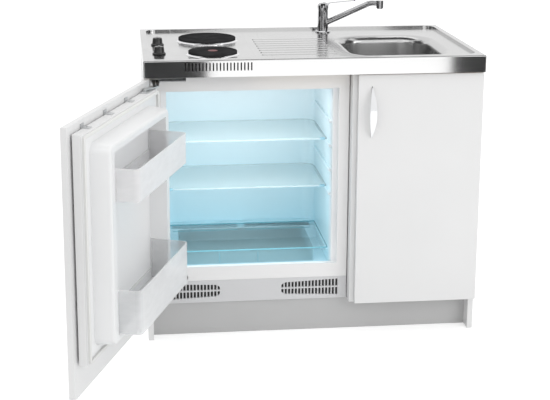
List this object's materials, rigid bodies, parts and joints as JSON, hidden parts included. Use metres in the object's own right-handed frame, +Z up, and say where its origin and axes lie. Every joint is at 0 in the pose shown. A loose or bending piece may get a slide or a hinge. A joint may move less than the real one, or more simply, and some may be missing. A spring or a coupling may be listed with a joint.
{
  "type": "kitchenette unit",
  "caption": "Compact kitchen unit: steel top with hob, drainer, bowl and tap over a built-in fridge with an open furniture-fronted door and a base cabinet.",
  "frame": {"origin": "on the floor, under the middle of the plinth's board", "axes": "+X to the right as seen from the front, +Y towards the wall, +Z up"},
  "size_m": [1.2109, 1.177, 0.9652],
  "materials": {
    "steel_sheet": "fine satin steel sheet",
    "core_board": "raw chipboard",
    "white_board": "white melamine laminate",
    "zinc_steel": "zinc-plated steel",
    "black_plastic": "black moulded plastic",
    "cast_iron_plate": "black heat-proof coating",
    "ring_steel": "polished stainless steel",
    "switch_plastic": "off-white heat-proof plastic",
    "knob_black": "black knob plastic",
    "tap_chrome": "bright chrome plate",
    "bow_chrome": "bright chrome plate",
    "casing_white": "white coated sheet over foam",
    "frame_white": "white moulded plastic",
    "liner_white": "white moulded lining with a cool tone",
    "grille_white": "white moulded plastic",
    "shelf_glass": "clear safety glass",
    "clear_plastic": "clear crystal plastic",
    "balcony_white": "white moulded plastic",
    "dial_plastic": "grey moulded plastic",
    "seal_rubber": "pale grey magnetic seal",
    "black_paint": "black baked paint"
  },
  "bodies": {
    "root": {"worktop": "steel_sheet", "sink_bowl": "steel_sheet", "waste_strainer": "steel_sheet", "underlay": "core_board", "sides": "white_board", "side_middle": "white_board", "cabinet_floor": "white_board", "cabinet_back": "white_board", "cabinet_shelf": "white_board", "plinth": "white_board", "shelf_pins": "zinc_steel", "hob_tray": "zinc_steel", "plate_undersides": "zinc_steel", "tap_nut": "zinc_steel", "fridge_base": "zinc_steel", "fridge_brackets": "zinc_steel", "hinge_arms": "zinc_steel", "feet": "black_plastic", "hotplate_rear": "cast_iron_plate", "hotplate_front": "cast_iron_plate", "spill_rings": "ring_steel", "hob_switches": "switch_plastic", "waste_trap": "switch_plastic", "overflow_pipe": "switch_plastic", "tap_foot": "tap_chrome", "tap_core": "tap_chrome", "fridge_casing": "casing_white", "fridge_floor": "casing_white", "fridge_frame": "frame_white", "fridge_liner": "liner_white", "thermostat_box": "liner_white", "fridge_grille": "grille_white", "glass_shelves": "shelf_glass", "crisper_cover": "shelf_glass", "compressor": "black_paint", "condenser": "black_paint"},
    "fridge_door": {"fridge_front": "white_board", "door_shell": "casing_white", "door_liner": "liner_white", "door_seal": "seal_rubber", "balcony_upper": "balcony_white", "balcony_lower": "clear_plastic", "door_brackets": "zinc_steel"},
    "bars_inner": {"hinge_bars_inner": "black_plastic"},
    "bars_outer": {"hinge_bars_outer": "black_plastic"},
    "ties_inner": {"hinge_ties_inner": "zinc_steel"},
    "ties_outer": {"hinge_ties_outer": "zinc_steel"},
    "cabinet_door": {"cabinet_door": "white_board", "bow_handle": "bow_chrome", "hinge_cups": "zinc_steel"},
    "short_links": {"hinge_link_short": "zinc_steel"},
    "long_links": {"hinge_link_long": "zinc_steel"},
    "knob_rear": {"knob_rear": "knob_black"},
    "knob_front": {"knob_front": "knob_black"},
    "spout": {"tap_spout": "tap_chrome", "tap_aerator": "tap_chrome"},
    "tap_cap": {"tap_cap": "tap_chrome"},
    "tap_lever": {"tap_lever": "tap_chrome"},
    "crisper": {"crisper_drawer": "clear_plastic"},
    "dial": {"thermostat_dial": "dial_plastic"}
  },
  "joints": [
    {"name": "fridge_door_swing", "type": "hinge", "parent": "root", "child": "fridge_door", "pos_m": [-0.4985, -0.068, 0.488], "axis": [0, 0, -1], "range_deg": [-110, 5]},
    {"name": "bars_inner_turn", "type": "hinge", "parent": "root", "child": "bars_inner", "pos_m": [-0.4705, -0.028, 0.488], "axis": [0, 0, -1], "range_deg": [-110, 5]},
    {"name": "bars_outer_turn", "type": "hinge", "parent": "root", "child": "bars_outer", "pos_m": [-0.4607, -0.014, 0.488], "axis": [0, 0, -1], "range_deg": [-110, 5]},
    {"name": "ties_inner_turn", "type": "hinge", "parent": "fridge_door", "child": "ties_inner", "pos_m": [-0.49835, -0.13191, 0.488], "axis": [0, 0, -1], "range_deg": [-5, 110]},
    {"name": "ties_outer_turn", "type": "hinge", "parent": "fridge_door", "child": "ties_outer", "pos_m": [-0.49831, -0.14916, 0.488], "axis": [0, 0, -1], "range_deg": [-5, 110]},
    {"name": "cabinet_door_swing", "type": "hinge", "parent": "root", "child": "cabinet_door", "pos_m": [0.4985, -0.068, 0.453], "axis": [0, 0, 1], "range_deg": [0, 100]},
    {"name": "short_links_turn", "type": "hinge", "parent": "root", "child": "short_links", "pos_m": [0.46, -0.028, 0.453], "axis": [0, 0, 1], "range_deg": [0, 100]},
    {"name": "long_links_turn", "type": "hinge", "parent": "cabinet_door", "child": "long_links", "pos_m": [0.475, -0.058, 0.453], "axis": [0, 0, 1], "range_deg": [-100, 0]},
    {"name": "knob_rear_turn", "type": "hinge", "parent": "root", "child": "knob_rear", "pos_m": [-0.45, 0.234, 0.865], "axis": [0, 0, -1], "range_deg": [0, 270]},
    {"name": "knob_front_turn", "type": "hinge", "parent": "root", "child": "knob_front", "pos_m": [-0.45, 0.072, 0.865], "axis": [0, 0, -1], "range_deg": [0, 270]},
    {"name": "spout_swivel", "type": "hinge", "parent": "root", "child": "spout", "pos_m": [0.1, 0.444, 0.883], "axis": [0, 0, 1], "range_deg": [-100, 35]},
    {"name": "lever_turn", "type": "hinge", "parent": "root", "child": "tap_cap", "pos_m": [0.1, 0.444, 0.938], "axis": [0, 0, 1], "range_deg": [-40, 40]},
    {"name": "lever_lift", "type": "hinge", "parent": "tap_cap", "child": "tap_lever", "pos_m": [0.10792, 0.44289, 0.9429], "axis": [-0.1392, -0.9903, 0], "range_deg": [0, 25]},
    {"name": "crisper_slide", "type": "slide", "parent": "root", "child": "crisper", "axis": [0, -1, 0], "range_m": [0, 0.055]},
    {"name": "thermostat_turn", "type": "hinge", "parent": "root", "child": "dial", "pos_m": [-0.15575, 0.177, 0.735], "axis": [0, -1, 0], "range_deg": [0, 270]}
  ],
  "couplings": [
    {"joint": "bars_inner_turn", "follows": "fridge_door_swing", "ratio": 1},
    {"joint": "bars_outer_turn", "follows": "fridge_door_swing", "ratio": 1},
    {"joint": "ties_inner_turn", "follows": "fridge_door_swing", "ratio": -1},
    {"joint": "ties_outer_turn", "follows": "fridge_door_swing", "ratio": -1},
    {"joint": "short_links_turn", "follows": "cabinet_door_swing", "ratio": 1},
    {"joint": "long_links_turn", "follows": "cabinet_door_swing", "ratio": -1}
  ]
}
